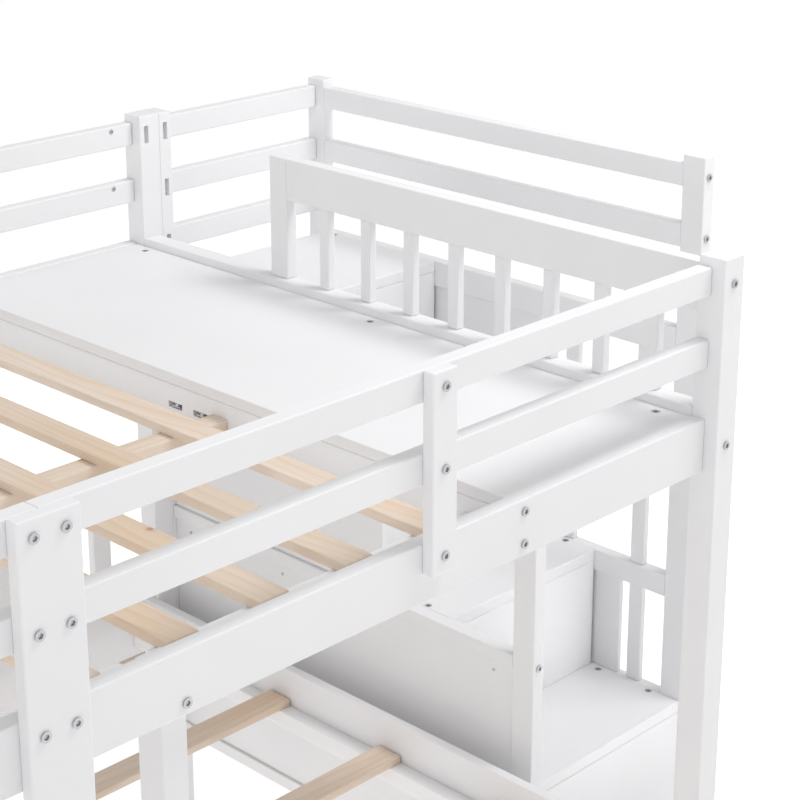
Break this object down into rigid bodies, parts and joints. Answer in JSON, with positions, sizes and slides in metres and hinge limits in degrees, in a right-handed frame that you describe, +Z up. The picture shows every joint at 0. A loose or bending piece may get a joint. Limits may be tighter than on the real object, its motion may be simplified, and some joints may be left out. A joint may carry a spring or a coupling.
{
  "type": "triple bunk bed",
  "caption": "White triple bunk bed: a wide upper bed with guard rails, a boarded platform and a stair with landing, over two single beds set across it on slats.",
  "frame": {"origin": "centre of the bounding box at floor level", "axes": "+X along the upper bed towards the stair, +Y towards the back (the head of the lower beds), +Z up"},
  "size_m": [3.117, 2.116, 1.64],
  "materials": {
    "white_paint": "satin white paint",
    "pine": "bare pine",
    "steel": "zinc plated"
  },
  "bodies": {
    "root": {"center_beam": "pine", "cross_dowels": "steel", "end_guards_left": "white_paint", "end_rail_left": "white_paint", "end_rail_right": "white_paint", "frame_bolts": "steel", "guard_mid_back_left": "white_paint", "guard_mid_back_right": "white_paint", "guard_mid_front_left": "white_paint", "guard_mid_front_right": "white_paint", "guard_stile_front_left": "white_paint", "guard_stile_front_right": "white_paint", "guard_top_back_left": "white_paint", "guard_top_back_right": "white_paint", "guard_top_front_left": "white_paint", "guard_top_front_right": "white_paint", "landing_back_rails": "white_paint", "landing_board": "white_paint", "lower_foot_left": "white_paint", "lower_foot_right": "white_paint", "lower_head_left": "white_paint", "lower_head_right": "white_paint", "lower_rails_left": "white_paint", "lower_rails_right": "white_paint", "lower_slats_left": "pine", "lower_slats_right": "pine", "middle_leg_back": "white_paint", "middle_leg_front": "white_paint", "platform_board": "white_paint", "platform_supports": "white_paint", "post_back_left": "white_paint", "post_back_right": "white_paint", "post_front_left": "white_paint", "post_front_right": "white_paint", "side_rail_back_left": "white_paint", "side_rail_back_right": "white_paint", "side_rail_front_left": "white_paint", "side_rail_front_right": "white_paint", "slat_ledger_back": "white_paint", "slat_ledger_front": "white_paint", "spindle_stile": "white_paint", "spindle_top_rail": "white_paint", "spindles": "white_paint", "stair_balusters": "white_paint", "stair_guard_rails": "white_paint", "stair_panels_left": "white_paint", "stair_panels_right": "white_paint", "stair_post_back_left": "white_paint", "stair_post_back_right": "white_paint", "stair_post_front_left": "white_paint", "stair_post_front_right": "white_paint", "stair_rails_left": "white_paint", "stair_risers": "white_paint", "stair_treads": "white_paint", "support_post_back_left": "white_paint", "support_post_back_right": "white_paint", "support_post_front_left": "white_paint", "support_post_front_right": "white_paint", "tread_screws": "steel", "upper_slats": "pine"}
  },
  "joints": []
}
